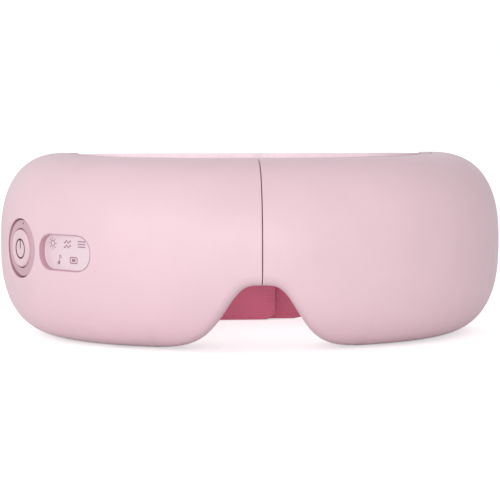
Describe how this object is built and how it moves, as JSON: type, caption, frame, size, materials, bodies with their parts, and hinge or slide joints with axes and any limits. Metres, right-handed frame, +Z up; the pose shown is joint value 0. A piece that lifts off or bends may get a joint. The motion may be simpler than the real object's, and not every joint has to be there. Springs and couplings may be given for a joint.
{
  "type": "eye massager mask",
  "caption": "Curved, folding eye massager mask with a power button, indicator window, soft eye cushions and an elastic hook-and-loop head strap.",
  "frame": {"origin": "middle of the footprint on the surface that the mask stands on", "axes": "+X to the wearer's left, across the mask; +Y from the front of the mask towards the wearer's head; +Z up"},
  "size_m": [0.1998, 0.1082, 0.0733],
  "materials": {
    "shell": "soft-touch satin moulded plastic, pale pink",
    "rear_shell": "satin moulded plastic, pale pink",
    "button": "smooth satin plastic with a printed power mark",
    "trim": "satin plastic",
    "window": "smooth light-passing plastic with printed indicator marks",
    "cushion": "fine-grained synthetic leather over foam, very pale pink",
    "strap": "knitted elastic webbing, dark rose",
    "hook_and_loop": "hook-and-loop fastener, dark rose",
    "steel": "plain steel",
    "brass": "plain",
    "silicone": "translucent silicone",
    "film": "amber polyimide film",
    "black_plastic": "fine texture",
    "white_plastic": "smooth",
    "circuit_board": "solder mask",
    "battery_foil": "pouch foil"
  },
  "bodies": {
    "hinge": {"hinge_link": "steel", "hinge_pin_left": "steel", "hinge_pin_right": "steel", "nose_bridge_pad": "cushion", "air_hose_crossing": "silicone", "ribbon_cable_crossing": "film"},
    "left_half": {"left_front_shell": "shell", "left_rear_shell": "rear_shell", "left_hinge_leaf": "steel", "left_eye_cushion": "cushion", "left_air_bag": "silicone", "left_heating_film": "film", "left_shell_screw_1": "steel", "left_shell_screw_2": "steel", "left_shell_screw_3": "steel", "left_shell_screw_4": "steel", "left_speaker": "black_plastic", "left_vibration_motor": "steel", "left_strap_clamp": "black_plastic", "strap_left_root": "strap", "left_air_hose": "silicone", "button_trim_ring": "trim", "button_switch": "black_plastic", "button_board": "circuit_board", "indicator_window": "window", "light_guide": "white_plastic", "indicator_board": "circuit_board", "main_board": "circuit_board", "usb_c_port": "steel"},
    "right_half": {"right_front_shell": "shell", "right_rear_shell": "rear_shell", "right_hinge_leaf": "steel", "right_eye_cushion": "cushion", "right_air_bag": "silicone", "right_heating_film": "film", "right_shell_screw_1": "steel", "right_shell_screw_2": "steel", "right_shell_screw_3": "steel", "right_shell_screw_4": "steel", "right_speaker": "black_plastic", "right_vibration_motor": "steel", "right_strap_clamp": "black_plastic", "strap_right_root": "strap", "right_air_hose": "silicone", "battery": "battery_foil", "pump_motor": "steel", "pump_head": "black_plastic", "air_valve": "white_plastic"},
    "button": {"power_button": "button"},
    "left_weight": {"left_motor_weight": "brass"},
    "right_weight": {"right_motor_weight": "brass"},
    "crank": {"pump_crank": "brass"},
    "plunger": {"valve_plunger": "steel"},
    "left_strap": {"strap_left_arm": "strap"},
    "left_strap_end": {"strap_left_end": "strap", "hook_patch": "hook_and_loop"},
    "right_strap": {"strap_right_arm": "strap"},
    "right_strap_end": {"strap_right_end": "strap", "loop_patch": "hook_and_loop"}
  },
  "joints": [
    {"name": "left_fold", "type": "hinge", "parent": "hinge", "child": "left_half", "pos_m": [-0.0044, -0.0271, 0.049], "axis": [0, 0, -1], "range_deg": [0, 45], "deforming": ["nose_bridge_pad", "left_eye_cushion", "air_hose_crossing", "ribbon_cable_crossing", "strap_left_root", "strap_left_arm"]},
    {"name": "right_fold", "type": "hinge", "parent": "hinge", "child": "right_half", "pos_m": [0.0044, -0.0271, 0.049], "axis": [0, 0, 1], "range_deg": [0, 45], "deforming": ["right_eye_cushion", "strap_right_root", "strap_right_arm"]},
    {"name": "left_strap_swing", "type": "hinge", "parent": "left_half", "child": "left_strap", "pos_m": [-0.08, 0.0336, 0.0357], "axis": [0, 0, 1], "range_deg": [0, 113.04]},
    {"name": "left_strap_turn", "type": "hinge", "parent": "left_strap", "child": "left_strap_end", "pos_m": [0, 0.0499, 0.0211], "axis": [0, 0, -1], "range_deg": [0, 68.04], "deforming": ["strap_left_end", "hook_patch"]},
    {"name": "right_strap_swing", "type": "hinge", "parent": "right_half", "child": "right_strap", "pos_m": [0.08, 0.0336, 0.0357], "axis": [0, 0, -1], "range_deg": [0, 113.04]},
    {"name": "right_strap_turn", "type": "hinge", "parent": "right_strap", "child": "right_strap_end", "pos_m": [0, 0.0499, 0.0211], "axis": [0, 0, 1], "range_deg": [0, 68.04], "deforming": ["strap_right_end", "loop_patch"]},
    {"name": "button_press", "type": "slide", "parent": "left_half", "child": "button", "axis": [0.8724, 0.4887, 0], "range_m": [0, 0.0006], "stiffness_N_per_m": 350, "springref_m": -0.001},
    {"name": "left_motor_spin", "type": "hinge", "parent": "left_half", "child": "left_weight", "pos_m": [-0.03756, -0.03551, 0.06], "axis": [0.98, -0.199, 0], "continuous": true},
    {"name": "right_motor_spin", "type": "hinge", "parent": "right_half", "child": "right_weight", "pos_m": [0.03756, -0.03551, 0.06], "axis": [0.98, 0.199, 0], "continuous": true},
    {"name": "pump_spin", "type": "hinge", "parent": "right_half", "child": "crank", "pos_m": [0.06956, -0.01717, 0.041], "axis": [0, 0, 1], "continuous": true},
    {"name": "valve_stroke", "type": "slide", "parent": "right_half", "child": "plunger", "axis": [0, 0, -1], "range_m": [0, 0.0012], "stiffness_N_per_m": 80, "springref_m": -0.002}
  ],
  "couplings": [
    {"joint": "right_fold", "follows": "left_fold", "ratio": 1},
    {"joint": "left_strap_swing", "follows": "left_fold", "ratio": 2.5098},
    {"joint": "right_strap_swing", "follows": "left_fold", "ratio": 2.5098},
    {"joint": "left_strap_turn", "follows": "left_fold", "ratio": 1.5098},
    {"joint": "right_strap_turn", "follows": "left_fold", "ratio": 1.5098}
  ]
}
